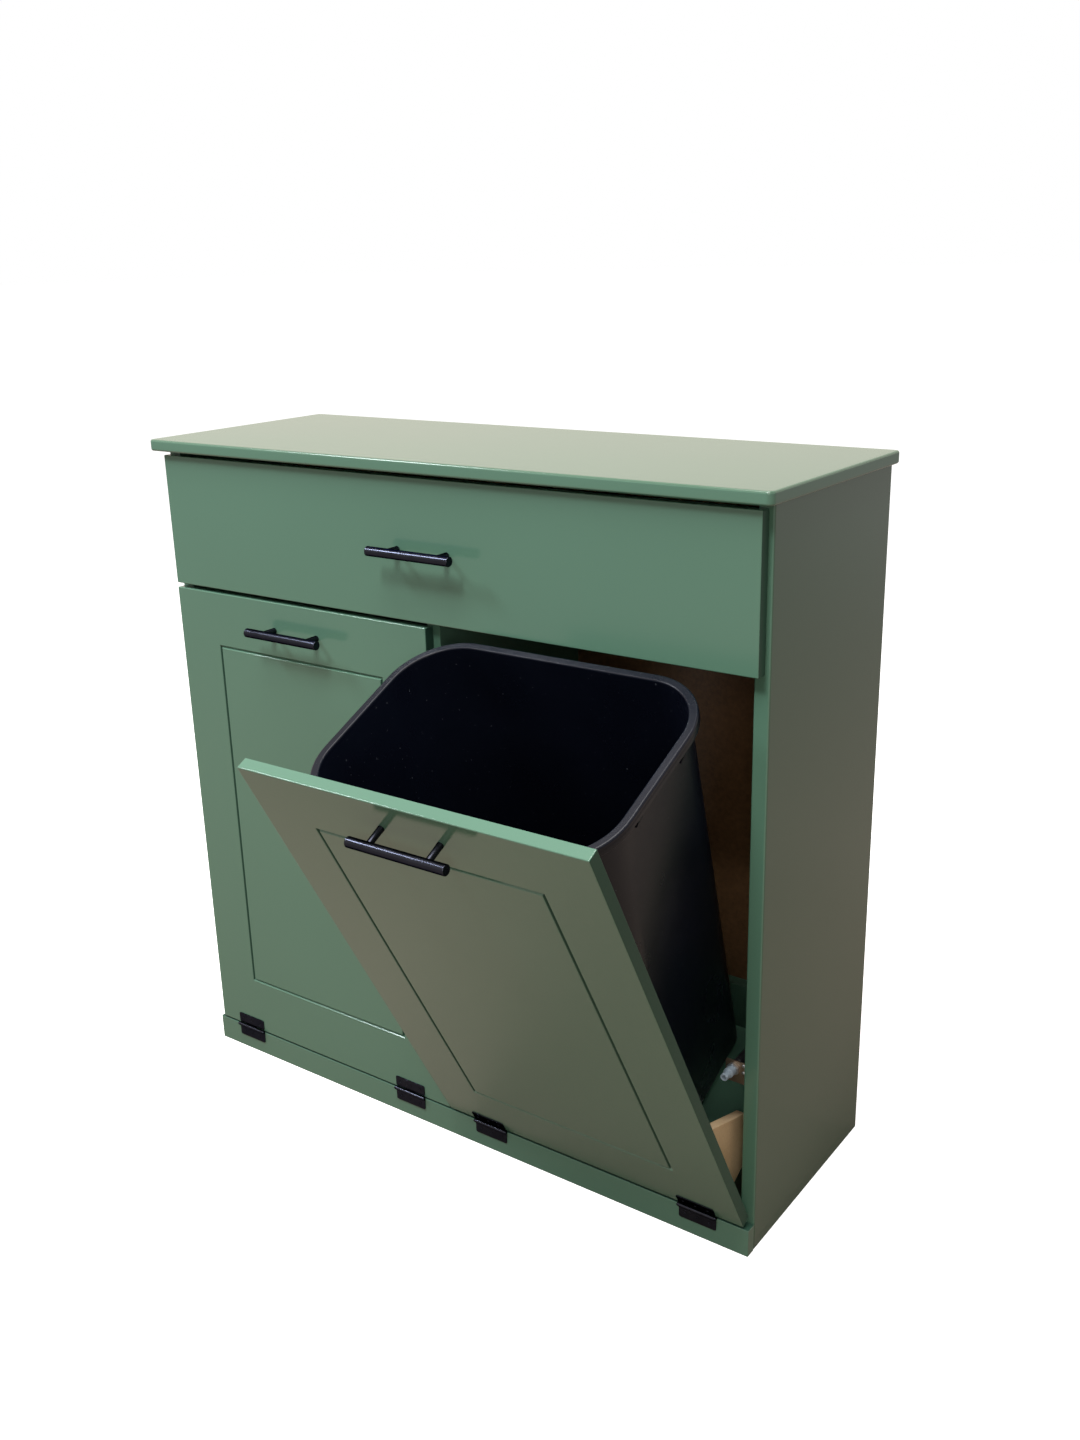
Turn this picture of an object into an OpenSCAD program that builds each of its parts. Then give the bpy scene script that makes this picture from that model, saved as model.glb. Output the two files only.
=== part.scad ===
// Cabinet with two tilt-out waste bins under one wide drawer.
// Millimetres. The origin is the centre of the footprint on the floor.
// X runs along the width, Y towards the back, Z up.
// The right front is drawn tilted open, the left front and the drawer closed.

/* [Cabinet] */
// Width over the two side panels
body_w = 900; // [760:10:1100]
// Depth from the faces of the fronts to the back edges of the sides
body_d = 314; // [310:2:400]
// Height from the floor to the top surface
total_h = 910; // [900:5:1000]
// Thickness of the sides, divider, deck, floors and back rail
panel_t = 19; // [16:0.5:22]
// Thickness of the hardboard back
back_t = 3; // [3:0.5:6]
// Height of the floor boards' underside above the ground
floor_lift = 15; // [5:1:18]
// Height of the rail along the bottom of the back
back_rail_h = 140; // [60:5:180]

/* [Top board] */
// Thickness of the top board
top_t = 15; // [12:0.5:30]
// Overhang of the top board past each side
over_side = 9.5; // [0:0.5:40]
// Overhang of the top board past the fronts
over_front = 11; // [0:0.5:40]
// Overhang of the top board past the back
over_back = 1; // [0:0.5:20]
// Radius of the top board's upright corners
top_corner_r = 8; // [2:0.5:20]

/* [Fronts] */
// Thickness of the doors, the drawer front and the bottom rail
front_t = 15; // [15:0.5:22]
// Height of the bottom rail
rail_h = 37; // [34:1:60]
// Height of the drawer front
drawer_front_h = 174; // [170:2:190]
// Gap round the drawer front and at the outer edges of the doors
reveal = 6; // [4:0.5:10]
// Gap between the two doors
door_gap = 2; // [1:0.5:5]
// Gap between the doors and the bottom rail
hinge_gap = 2; // [1:0.5:3]
// Angle at which the right front stands open
open_angle = 28; // [5:1:28]

/* [Door grooves] */
// Distance of the groove from the door's side edges
groove_side = 76; // [40:1:110]
// Distance of the groove from the door's top edge
groove_top = 75; // [60:1:120]
// Distance of the groove from the door's bottom edge
groove_bottom = 84; // [60:1:120]
// Width of the groove
groove_w = 3.5; // [1:0.5:6]
// Depth of the groove
groove_deep = 2.5; // [0.5:0.5:4]

/* [Pulls] */
// Distance between a pull's posts
pull_cc = 76; // [50:1:160]
// Length of a pull's bar past each post
pull_end = 25; // [8:1:50]
// Diameter of a pull's bar
pull_bar_d = 12; // [9:0.5:14]
// Diameter of a pull's posts
pull_post_d = 8; // [7:0.5:9]
// Distance from the face to the middle of the bar
pull_reach = 26; // [20:1:40]
// Distance from a door's top edge down to its pull
pull_drop = 38; // [25:1:45]
// Diameter of the pulls' machine screws
pull_screw_d = 4; // [3:0.5:4]

/* [Hinges] */
// Length of a hinge
hinge_len = 51; // [38:1:76]
// Width of one leaf from the pin's axis
hinge_leaf_w = 18.3; // [15:0.1:20]
// Thickness of a leaf
leaf_t = 1.2; // [1:0.1:1.6]
// Radius of a hinge pin
pin_r = 1.3; // [1:0.1:1.5]
// Radius of a knuckle
knuckle_r = 2.6; // [2.4:0.1:3]
// Distance of the inner hinges from the middle of the cabinet
hinge_inner_x = 70; // [50:1:120]
// Distance of the outer hinges from the outer face of the side
hinge_outer_inset = 68; // [50:1:120]

/* [Trays] */
// Thickness of the tray boards
tray_t = 12; // [9:0.5:15]
// Gap between a tray bracket and the panel beside it
bracket_gap = 16; // [8:1:20]
// Depth of a tray bracket behind the door
bracket_d = 87; // [60:1:150]
// Height of a tray bracket at its back edge
bracket_low_h = 63; // [40:1:100]
// Height of a tray bracket against the door
bracket_high_h = 150; // [110:1:170]
// Height of a tray's underside above the door's bottom edge
tray_lift = 14; // [10:1:20]
// Length of a tray's bottom board past the bin's base
tray_margin = 2; // [1:1:40]

/* [Bins] */
// Gap between a bin's rim and the panels beside it
bin_side_gap = 11.5; // [2:0.5:40]
// Gap between an upright bin's rim and the cabinet's back
bin_back_gap = 17.5; // [2:0.5:40]
// Gap between a bin's rim, as it swings out, and the drawer front above it
bin_swing_gap = 1.5; // [1:0.5:80]
// Width of a bin's base
bin_base_w = 240; // [200:1:260]
// Depth of a bin's base
bin_base_d = 221; // [160:1:230]
// Thickness of a bin's wall
bin_wall = 2.5; // [1.5:0.1:4]
// Height of the band round a bin's rim
rim_h = 12; // [8:1:25]
// Overhang of the rim past the bin's wall
rim_out = 8.5; // [4:0.5:12]

/* [Drawer] */
// Height of the drawer box
box_h = 110; // [70:5:120]
// Depth of the drawer box
box_d = 260; // [256:2:280]
// Thickness of the drawer box's boards
box_t = 12; // [9:0.5:15]
// Thickness of the drawer's bottom
box_bottom_t = 5; // [3:0.5:6]
// Clear height under the drawer box
box_lift = 10; // [5:1:15]
// Length of the drawer slides
slide_len = 250; // [200:5:250]
// Height of the drawer slides
slide_h = 45; // [35:1:50]
// Width of a drawer slide between the side and the box
slide_w = 12.7; // [12:0.1:13.5]

/* [Dampers] */
// Distance of a damper's axis from the side panel
damper_in = 21; // [18:1:30]
// Height of a damper's bracket above the tray bracket's top
damper_rise = 7.5; // [2:0.5:80]
// Radius of a damper's body
damper_r = 6.5; // [6:0.1:8]
// Length of a damper's body behind its bracket
damper_len = 55; // [40:1:90]
// Travel of a damper's plunger
damper_travel = 9; // [4:0.5:10]
// Height of a damper's bracket
damper_plate_h = 28; // [26:1:60]

/* [Hidden] */
$fn = 48;

// Finishes
PAINT = "#5F7E6B";
SIDE_PAINT = "#5B6A58";
BLACK = "#26262A";
BIN_BLACK = "#1C1C1E";
STEEL = "#B9BCC0";
BRONZE = "#8A6A3C";
HARDBOARD = "#5A4030";
PLYWOOD = "#C8A070";
GREY = "#C8CCD4";

// Planes
front_y = -body_d / 2;
carcass_y = front_y + front_t;
back_y = body_d / 2;
back_in_y = back_y - back_t;
side_in = body_w / 2 - panel_t;
under_top = total_h - top_t;

// Heights of the fronts
door_z = rail_h + hinge_gap;
drawer_top_z = under_top - reveal;
drawer_z = drawer_top_z - drawer_front_h;
door_top_z = drawer_z - reveal;
door_h = door_top_z - door_z;
front_x = body_w / 2 - reveal;
door_in_x = door_gap / 2;
door_w = front_x - door_in_x;
door_mid = door_in_x + door_w / 2;

// Deck under the drawer, just above the drawer front's lower edge
deck_z = drawer_z + 1;
deck_top = deck_z + panel_t;
floor_top = floor_lift + panel_t;
rail_y = back_in_y - panel_t;

// Bin bays between the divider and the sides
bay_in = panel_t / 2;
bay_mid = (bay_in + side_in) / 2;

// Clearances
fit = 0.05;
near = 0.3;

// Hinges
axis_y = front_y - knuckle_r - near;
axis_z = rail_h + hinge_gap / 2;
hinge_xs = [hinge_inner_x, body_w / 2 - hinge_outer_inset];
knuckle_len = hinge_len / 3;
leaf_start = knuckle_r + 0.5;
leaf_screw_r = 1.5;
leaf_screw_len = 11;
leaf_head_r = 2.6;
leaf_head_h = 0.7;
leaf_screw_row = (leaf_start + hinge_leaf_w) / 2;
leaf_screw_xs = [-hinge_len / 3, 0, hinge_len / 3];

// Pulls
pull_len = pull_cc + 2 * pull_end;
pull_screw_in = 8;
screw_head_r = pull_screw_d;
screw_head_h = 2.4;
drawer_pull_z = drawer_z + drawer_front_h / 2;
door_pull_z = door_top_z - pull_drop;

// Trays
tray_z = door_z + tray_lift;
tray_top = tray_z + tray_t;
tray_d = bin_base_d + tray_margin;
bracket_out_x = side_in - bracket_gap;
bracket_in_x = bay_in + bracket_gap;

// Bins
bin_rim_w = side_in - bay_in - 2 * bin_side_gap;
bin_rim_d = back_in_y - carcass_y - bin_back_gap;
swing_r = drawer_z - bin_swing_gap - axis_z;
rim_back = carcass_y + near + bin_rim_d - axis_y;
bin_h = sqrt(swing_r ^ 2 - rim_back ^ 2) - (tray_top + near - axis_z);
bin_lean = atan((bin_rim_d - bin_base_d) / 2 / (bin_h - rim_h));
base_r = 30;
neck_r = 71;
rib_h = 14;
rib_t = 3;
bin_neck_w = bin_rim_w - 2 * rim_out;
bin_neck_d = bin_rim_d - 2 * rim_out;

// Drawer
box_z = deck_top + box_lift;
box_x = side_in - slide_w;
slide_z = box_z + box_h / 2;
slide_y = carcass_y + 2;
metal_t = 1.2;
slide_nest = metal_t + near;

// Dampers
damper_x = side_in - damper_in;
plate_drop = 4;
plate_z = tray_z + bracket_high_h + damper_rise;
damper_z = plate_z + damper_plate_h / 2 + plate_drop;
plunger_r = 4.5;
plunger_hole_r = 2.8;
nose_r = 5.8;
collar_r = 6.5;
collar_y = carcass_y + near + 1;
nut_t = 4;
nut_r = nose_r + 2.4;
nut_y = collar_y + 10;
plate_t = 2;
plate_y = nut_y + nut_t;
body_y = plate_y + plate_t;
plate_reach = damper_in + nose_r + 4;
flange_len = 28;
rivet_r = 1.6;
rivet_head_r = 2.2;
rivet_head_h = 1;
rivet_x = side_in - 8;
damper_screw_y = body_y + flange_len * 0.6;

// Helpers

module left_copy() {
  mirror([1, 0, 0])
    children();
}

module opened() {
  translate([0, axis_y, axis_z])
    rotate([open_angle, 0, 0])
      translate([0, -axis_y, -axis_z])
        children();
}

module both_sides() {
  children();
  left_copy() children();
}

module board(x0, x1, y0, y1, z0, z1) {
  translate([x0, y0, z0])
    cube([x1 - x0, y1 - y0, z1 - z0]);
}

module y_rod(r, y0, y1) {
  translate([0, y1, 0])
    rotate([90, 0, 0])
      cylinder(r = r, h = y1 - y0);
}

module x_rod(r, x0, x1) {
  translate([x0, 0, 0])
    rotate([0, 90, 0])
      cylinder(r = r, h = x1 - x0);
}

module rounded_rect(w, d, r) {
  square([w - 2 * r, d], center = true);
  square([w, d - 2 * r], center = true);
  for (x = [-1, 1], y = [-1, 1])
    translate([x * (w / 2 - r), y * (d / 2 - r)])
      circle(r = r);
}

// Carcass

module top_board() {
  w = body_w + 2 * over_side;
  d = body_d + over_front + over_back;
  color(PAINT)
    translate([0, (over_back - over_front) / 2, under_top])
      linear_extrude(top_t)
        rounded_rect(w, d, top_corner_r);
}

module side_panel() {
  color(SIDE_PAINT)
    difference() {
      board(side_in, body_w / 2, carcass_y, back_y, 0, under_top);
      damper_screw_row()
        x_rod(leaf_screw_r + fit, -1, leaf_screw_len + near);
    }
}

module centre_divider() {
  color(SIDE_PAINT)
    difference() {
      board(-bay_in, bay_in, carcass_y, back_in_y, 0, deck_z);
      board(-panel_t, panel_t, rail_y, back_y, floor_top, floor_top + back_rail_h);
    }
}

module floor_board() {
  color(PAINT)
    board(bay_in, side_in, carcass_y, back_in_y, floor_lift, floor_top);
}

module drawer_deck() {
  color(PAINT)
    board(-side_in, side_in, carcass_y, back_in_y, deck_z, deck_top);
}

module back_panel() {
  color(HARDBOARD)
    board(-side_in, side_in, back_in_y, back_y, floor_lift, under_top);
}

module back_rail() {
  color(PAINT)
    board(-side_in, side_in, rail_y, back_in_y, floor_top, floor_top + back_rail_h);
}

module bottom_rail() {
  color(PAINT)
    difference() {
      board(-body_w / 2, body_w / 2, front_y, carcass_y, 0, rail_h);
      both_sides() leaf_holes(-1, leaf_screw_r + fit);
    }
}

// Hinges, drawn closed at the right door's places

module leaf_row(side) {
  for (hx = hinge_xs, sx = leaf_screw_xs)
    translate([hx + sx, 0, axis_z + side * leaf_screw_row])
      children();
}

module leaf_holes(side, r) {
  leaf_row(side)
    y_rod(r, front_y - leaf_t - 1, front_y + leaf_screw_len + near);
}

module leaf_screws(side) {
  color(BLACK)
    leaf_row(side) {
      y_rod(leaf_screw_r, front_y - leaf_t - near / 2, front_y + leaf_screw_len);
      y_rod(leaf_head_r, front_y - leaf_t - leaf_head_h, front_y - leaf_t);
    }
}

// One leaf: side -1 is the lower leaf with the two outer knuckles, 1 the upper leaf
module leaf(side) {
  half = hinge_len / 2;
  z0 = axis_z + side * leaf_start;
  z1 = axis_z + side * hinge_leaf_w;
  outer = [[-half, -half + knuckle_len - near], [half - knuckle_len + near, half]];
  inner = [[-half + knuckle_len, half - knuckle_len]];
  spans = side < 0 ? outer : inner;
  difference() {
    union() {
      board(-half, half, front_y - leaf_t, front_y, min(z0, z1), max(z0, z1));
      for (s = spans) {
        board(s[0], s[1], front_y - leaf_t, front_y, min(axis_z, z1), max(axis_z, z1));
        translate([0, axis_y, axis_z])
          x_rod(knuckle_r, s[0], s[1]);
      }
    }
    translate([0, axis_y, axis_z])
      x_rod(pin_r + fit, -half - 1, half + 1);
  }
}

module leaves(side) {
  color(BLACK)
    difference() {
      for (hx = hinge_xs)
        translate([hx, 0, 0])
          leaf(side);
      leaf_holes(side, leaf_screw_r + fit);
    }
}

module hinge_pins() {
  color(BLACK)
    both_sides()
      for (hx = hinge_xs)
        translate([hx, axis_y, axis_z]) {
          x_rod(pin_r, -hinge_len / 2 - 0.5, hinge_len / 2 + 0.5);
          for (s = [-1, 1])
            translate([s * (hinge_len / 2 + 0.8), 0, 0])
              x_rod(knuckle_r - 0.5, -0.5, 0.5);
        }
}

// Fronts

// The groove's middle line runs at the set distances from the door's edges
module groove_block(out) {
  board(
    door_in_x + groove_side - out, front_x - groove_side + out,
    front_y - 1, front_y + groove_deep,
    door_z + groove_bottom - out, door_top_z - groove_top + out
  );
}

module door() {
  color(PAINT)
    difference() {
      board(door_in_x, front_x, front_y, carcass_y, door_z, door_top_z);
      difference() {
        groove_block(groove_w / 2);
        groove_block(-groove_w / 2);
      }
      leaf_holes(1, leaf_screw_r + fit);
      pull_at(door_mid, door_pull_z)
        screw_holes(front_t);
    }
}

module drawer_front() {
  color(PAINT)
    difference() {
      board(-front_x, front_x, front_y, carcass_y, drawer_z, drawer_top_z);
      pull_at(0, drawer_pull_z)
        screw_holes(front_t);
      front_screw_row()
        y_rod(leaf_screw_r + fit, carcass_y - leaf_screw_len, carcass_y + 1);
    }
}

// Pulls

module pull_at(x, z) {
  translate([x, front_y, z])
    children();
}

module post_row() {
  for (s = [-1, 1])
    translate([s * pull_cc / 2, 0, 0])
      children();
}

module screw_holes(depth) {
  post_row()
    y_rod(pull_screw_d / 2 + fit, -1, depth + 1);
}

module pull_bar() {
  color(BLACK)
    difference() {
      translate([0, -pull_reach, 0])
        x_rod(pull_bar_d / 2, -pull_len / 2, pull_len / 2);
      post_row()
        y_rod(pull_post_d / 2 + fit, -pull_reach, 0);
    }
}

module pull_posts() {
  color(BLACK)
    post_row()
      difference() {
        y_rod(pull_post_d / 2, -pull_reach, 0);
        y_rod(pull_screw_d / 2 + fit, -pull_screw_in - near, 1);
      }
}

module pull_screws(depth) {
  color(STEEL)
    post_row() {
      y_rod(pull_screw_d / 2, -pull_screw_in, depth + near);
      y_rod(screw_head_r, depth, depth + screw_head_h);
    }
}

// Trays and bins, drawn closed in the right bay

module tray_bottom() {
  color(PAINT)
    board(bracket_in_x + tray_t, bracket_out_x - tray_t, carcass_y, carcass_y + tray_d,
      tray_z, tray_top);
}

module tray_bracket(x) {
  translate([x, 0, 0])
    rotate([90, 0, 90])
      linear_extrude(tray_t)
        polygon([
          [carcass_y, tray_z], [carcass_y + bracket_d, tray_z],
          [carcass_y + bracket_d, tray_z + bracket_low_h], [carcass_y, tray_z + bracket_high_h]
        ]);
}

module tray_brackets() {
  color(PLYWOOD) {
    tray_bracket(bracket_in_x);
    tray_bracket(bracket_out_x - tray_t);
  }
}

module bin_slice(z, w, d, r) {
  translate([0, 0, z])
    linear_extrude(1)
      rounded_rect(w, d, r, $fn = 32);
}

module bin_rib(out) {
  rotate([90, 0, 0])
    translate([0, 0, -rib_t / 2])
      linear_extrude(rib_t)
        polygon([
          [out - rim_out - 3, bin_h - rim_h - rib_h], [out - rim_out, bin_h - rim_h - rib_h],
          [out - 1, bin_h - rim_h], [out - 1, bin_h - 1], [out - rim_out - 2, bin_h - 1]
        ]);
}

// The waste bin upright on its base, tapered, with a turned-down rim
module bin() {
  w = bin_wall;
  color(BIN_BLACK)
    difference() {
      union() {
        hull() {
          bin_slice(0, bin_base_w, bin_base_d, base_r);
          bin_slice(bin_h - 1, bin_neck_w, bin_neck_d, neck_r);
        }
        translate([0, 0, bin_h - w])
          linear_extrude(w)
            rounded_rect(bin_rim_w, bin_rim_d, neck_r + rim_out);
        translate([0, 0, bin_h - rim_h])
          linear_extrude(rim_h)
            difference() {
              rounded_rect(bin_rim_w, bin_rim_d, neck_r + rim_out);
              rounded_rect(bin_rim_w - 2 * w, bin_rim_d - 2 * w, neck_r + rim_out - w);
            }
        for (s = [0, 180], y = [-bin_rim_d / 6, bin_rim_d / 6])
          rotate([0, 0, s])
            translate([0, y, 0])
              bin_rib(bin_rim_w / 2);
        for (s = [90, 270], x = [-bin_rim_w / 4, 0, bin_rim_w / 4])
          rotate([0, 0, s])
            translate([0, x, 0])
              bin_rib(bin_rim_d / 2);
      }
      hull() {
        bin_slice(w, bin_base_w - 2 * w, bin_base_d - 2 * w, base_r - w);
        bin_slice(bin_h, bin_neck_w - 2 * w, bin_neck_d - 2 * w, neck_r - w);
      }
    }
}

// Standing on its tray behind a closed door
module bin_upright() {
  translate([bay_mid, carcass_y + near + bin_rim_d / 2, tray_top + near])
    bin();
}

// Lying back against the open door on its tray's bottom
module bin_leaning() {
  half = bin_base_d / 2;
  y = carcass_y + near + half * cos(bin_lean);
  z = tray_top + near + half * sin(bin_lean);
  translate([bay_mid, y, z])
    rotate([-bin_lean, 0, 0])
      bin();
}

// Drawer

module box_side() {
  color(PLYWOOD)
    board(box_x - box_t, box_x, carcass_y, carcass_y + box_d, box_z, box_z + box_h);
}

module front_screw_row() {
  for (x = [-box_x * 0.6, box_x * 0.6], z = [box_z + box_h * 0.3, box_z + box_h * 0.8])
    translate([x, 0, z])
      children();
}

module drawer_box_front() {
  y1 = carcass_y + box_t;
  color(PLYWOOD)
    difference() {
      board(-box_x + box_t, box_x - box_t, carcass_y, y1, box_z + box_bottom_t, box_z + box_h);
      pull_at(0, drawer_pull_z)
        screw_holes(front_t + box_t);
      front_screw_row()
        y_rod(leaf_screw_r + fit, carcass_y - 1, y1 + 1);
    }
}

module drawer_box_back() {
  y1 = carcass_y + box_d;
  color(PLYWOOD)
    board(-box_x + box_t, box_x - box_t, y1 - box_t, y1, box_z + box_bottom_t, box_z + box_h);
}

module drawer_bottom() {
  color(PLYWOOD)
    board(-box_x + box_t, box_x - box_t, carcass_y, carcass_y + box_d, box_z,
      box_z + box_bottom_t);
}

module drawer_front_screws() {
  y1 = carcass_y + box_t;
  color(STEEL)
    front_screw_row() {
      y_rod(leaf_screw_r, carcass_y - leaf_screw_len + near, y1 + near);
      y_rod(leaf_head_r, y1, y1 + 1.5);
    }
}

// A channel of a slide: its web lies at x0, its lips reach to x1, h is its full height
module channel(x0, x1, h) {
  lo = min(x0, x1);
  hi = max(x0, x1);
  web = x0 < x1 ? [x0, x0 + metal_t] : [x0 - metal_t, x0];
  y1 = slide_y + slide_len;
  board(web[0], web[1], slide_y, y1, slide_z - h / 2, slide_z + h / 2);
  board(lo, hi, slide_y, y1, slide_z - h / 2, slide_z - h / 2 + metal_t);
  board(lo, hi, slide_y, y1, slide_z + h / 2 - metal_t, slide_z + h / 2);
}

module slide_cabinet_members() {
  color(STEEL)
    both_sides()
      channel(side_in, box_x + slide_nest + 1, slide_h);
}

module slide_middle_members() {
  color(STEEL)
    both_sides()
      channel(side_in - slide_nest, box_x + slide_nest, slide_h - 2 * slide_nest);
}

module slide_drawer_members() {
  color(STEEL)
    both_sides()
      channel(box_x, side_in - 2 * slide_nest, slide_h - 4 * slide_nest);
}

// Dampers, on the outer side panel of each bay

module damper_bracket() {
  z0 = plate_z;
  z1 = plate_z + damper_plate_h;
  color(BRONZE)
    difference() {
      union() {
        board(side_in - plate_reach, side_in, plate_y, body_y, z0, z1);
        board(side_in - plate_t, side_in, plate_y, plate_y + flange_len, z0, z1);
      }
      translate([damper_x, 0, damper_z])
        y_rod(nose_r + fit, plate_y - 1, body_y + 1);
      rivet_row()
        y_rod(rivet_r + fit, plate_y - 1, body_y + 1);
      damper_screw_row()
        x_rod(leaf_screw_r + fit, -plate_t - 1, 1);
    }
}

module rivet_row() {
  for (s = [-1, 1])
    translate([rivet_x, 0, damper_z + 2 + s * 4.6])
      children();
}

module damper_rivet() {
  color(STEEL)
    rivet_row() {
      y_rod(rivet_r, plate_y - near, body_y + near);
      y_rod(rivet_head_r, plate_y - rivet_head_h, plate_y);
      y_rod(rivet_head_r, body_y, body_y + rivet_head_h);
    }
}

module damper_screw_row() {
  for (s = [-1, 1])
    translate([side_in, damper_screw_y, plate_z + damper_plate_h * (0.5 + s * 0.26)])
      children();
}

module damper_screw() {
  color(STEEL)
    damper_screw_row() {
      x_rod(leaf_screw_r, -plate_t - near / 2, leaf_screw_len);
      x_rod(leaf_head_r, -plate_t - leaf_head_h, -plate_t);
    }
}

module damper_body() {
  color(BLACK)
    translate([damper_x, 0, damper_z])
      difference() {
        union() {
          y_rod(damper_r, body_y, body_y + damper_len);
          y_rod(nose_r, nut_y, body_y + 1);
        }
        y_rod(plunger_r + fit, nut_y - 1, body_y + damper_len - 5);
      }
}

// The sleeve in front of the nut that the plunger slides in
module damper_collar() {
  color(GREY)
    translate([damper_x, 0, damper_z])
      difference() {
        y_rod(collar_r, collar_y, nut_y);
        y_rod(plunger_r + fit, collar_y - 1, nut_y + 1);
      }
}

module damper_nut() {
  color(STEEL)
    translate([damper_x, 0, damper_z])
      difference() {
        translate([0, plate_y, 0])
          rotate([90, 0, 0])
            cylinder(r = nut_r, h = nut_t, $fn = 6);
        y_rod(nose_r + fit, nut_y - 1, plate_y + 1);
      }
}

// The plunger pressed in by a closed door
module damper_plunger() {
  y0 = carcass_y + near;
  color(GREY)
    translate([damper_x, 0, damper_z])
      difference() {
        y_rod(plunger_r, y0, y0 + 45);
        y_rod(plunger_hole_r, y0 - 1, y0 + 3);
      }
}

// Placed copies

module left_side() {
  left_copy() side_panel();
}

module right_side() {
  side_panel();
}

module left_floor() {
  left_copy() floor_board();
}

module right_floor() {
  floor_board();
}

module hinge_lower_leaves() {
  both_sides() leaves(-1);
}

module hinge_lower_screws() {
  both_sides() leaf_screws(-1);
}

module damper_brackets() {
  both_sides() damper_bracket();
}

module damper_bodies() {
  both_sides() damper_body();
}

module damper_collars() {
  both_sides() damper_collar();
}

module damper_nuts() {
  both_sides() damper_nut();
}

module damper_rivets() {
  both_sides() damper_rivet();
}

module damper_screws() {
  both_sides() damper_screw();
}

module left_damper_plunger() {
  left_copy() damper_plunger();
}

module right_damper_plunger() {
  translate([0, -damper_travel, 0]) damper_plunger();
}

module drawer_box_left() {
  left_copy() box_side();
}

module drawer_box_right() {
  box_side();
}

module drawer_pull_bar() {
  pull_at(0, drawer_pull_z) pull_bar();
}

module drawer_pull_posts() {
  pull_at(0, drawer_pull_z) pull_posts();
}

module drawer_pull_screws() {
  pull_at(0, drawer_pull_z) pull_screws(front_t + box_t);
}

module door_pull_bar() {
  pull_at(door_mid, door_pull_z) pull_bar();
}

module door_pull_posts() {
  pull_at(door_mid, door_pull_z) pull_posts();
}

module door_pull_screws() {
  pull_at(door_mid, door_pull_z) pull_screws(front_t);
}

top_board();
left_side();
right_side();
centre_divider();
left_floor();
right_floor();
drawer_deck();
back_panel();
back_rail();
bottom_rail();
slide_cabinet_members();
hinge_lower_leaves();
hinge_pins();
hinge_lower_screws();
damper_brackets();
damper_rivets();
damper_bodies();
damper_collars();
damper_nuts();
damper_screws();
drawer_front();
drawer_box_left();
drawer_box_right();
drawer_box_front();
drawer_box_back();
drawer_bottom();
slide_drawer_members();
drawer_pull_bar();
drawer_pull_posts();
drawer_pull_screws();
drawer_front_screws();
slide_middle_members();
left_copy() door();  // left_door
left_copy() leaves(1);  // left_hinge_leaves
left_copy() leaf_screws(1);  // left_hinge_screws
left_copy() door_pull_bar();  // left_pull_bar
left_copy() door_pull_posts();  // left_pull_posts
left_copy() door_pull_screws();  // left_pull_screws
left_copy() tray_bottom();  // left_tray_bottom
left_copy() tray_brackets();  // left_tray_brackets
left_copy() bin_upright();  // left_bin
opened() door();  // right_door
opened() leaves(1);  // right_hinge_leaves
opened() leaf_screws(1);  // right_hinge_screws
opened() door_pull_bar();  // right_pull_bar
opened() door_pull_posts();  // right_pull_posts
opened() door_pull_screws();  // right_pull_screws
opened() tray_bottom();  // right_tray_bottom
opened() tray_brackets();  // right_tray_brackets
opened() bin_leaning();  // right_bin
left_damper_plunger();
right_damper_plunger();
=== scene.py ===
# Cabinet with two tilt-out waste bins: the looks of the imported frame
import math
import bmesh
import bpy
import numpy as np
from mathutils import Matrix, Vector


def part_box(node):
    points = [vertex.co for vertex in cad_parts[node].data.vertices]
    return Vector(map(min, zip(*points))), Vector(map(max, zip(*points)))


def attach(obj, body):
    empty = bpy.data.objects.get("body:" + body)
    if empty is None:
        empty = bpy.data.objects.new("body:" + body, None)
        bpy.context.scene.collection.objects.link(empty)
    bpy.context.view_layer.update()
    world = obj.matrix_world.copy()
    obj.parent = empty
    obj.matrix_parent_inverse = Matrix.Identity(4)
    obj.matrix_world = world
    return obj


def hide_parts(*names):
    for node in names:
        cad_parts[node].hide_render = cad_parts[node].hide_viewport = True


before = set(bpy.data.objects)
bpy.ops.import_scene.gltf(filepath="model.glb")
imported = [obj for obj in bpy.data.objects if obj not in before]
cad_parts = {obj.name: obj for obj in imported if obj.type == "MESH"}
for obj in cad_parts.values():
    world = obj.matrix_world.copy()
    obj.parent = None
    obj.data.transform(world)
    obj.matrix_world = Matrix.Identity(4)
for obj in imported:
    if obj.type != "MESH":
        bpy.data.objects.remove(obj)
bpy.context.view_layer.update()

print("frame loaded")


def toLinear(hexCode):
    # sRGB hex to the linear colour that a shader takes
    c = np.array([int(hexCode[i:i + 2], 16) for i in (1, 3, 5)]) / 255
    c = np.where(c <= 0.04045, c / 12.92, ((c + 0.055) / 1.055) ** 2.4)
    return (*map(float, c), 1.0)


def addNode(tree, kind, inputs=None, **settings):
    # a node with its settings; an input is a value, or (node, output) to link
    node = tree.nodes.new(kind)
    for key, value in settings.items():
        setattr(node, key, value)
    for key, value in (inputs or {}).items():
        if isinstance(value, tuple) and hasattr(value[0], "outputs"):
            tree.links.new(value[0].outputs[value[1]], node.inputs[key])
        else:
            node.inputs[key].default_value = value
    return node


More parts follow.
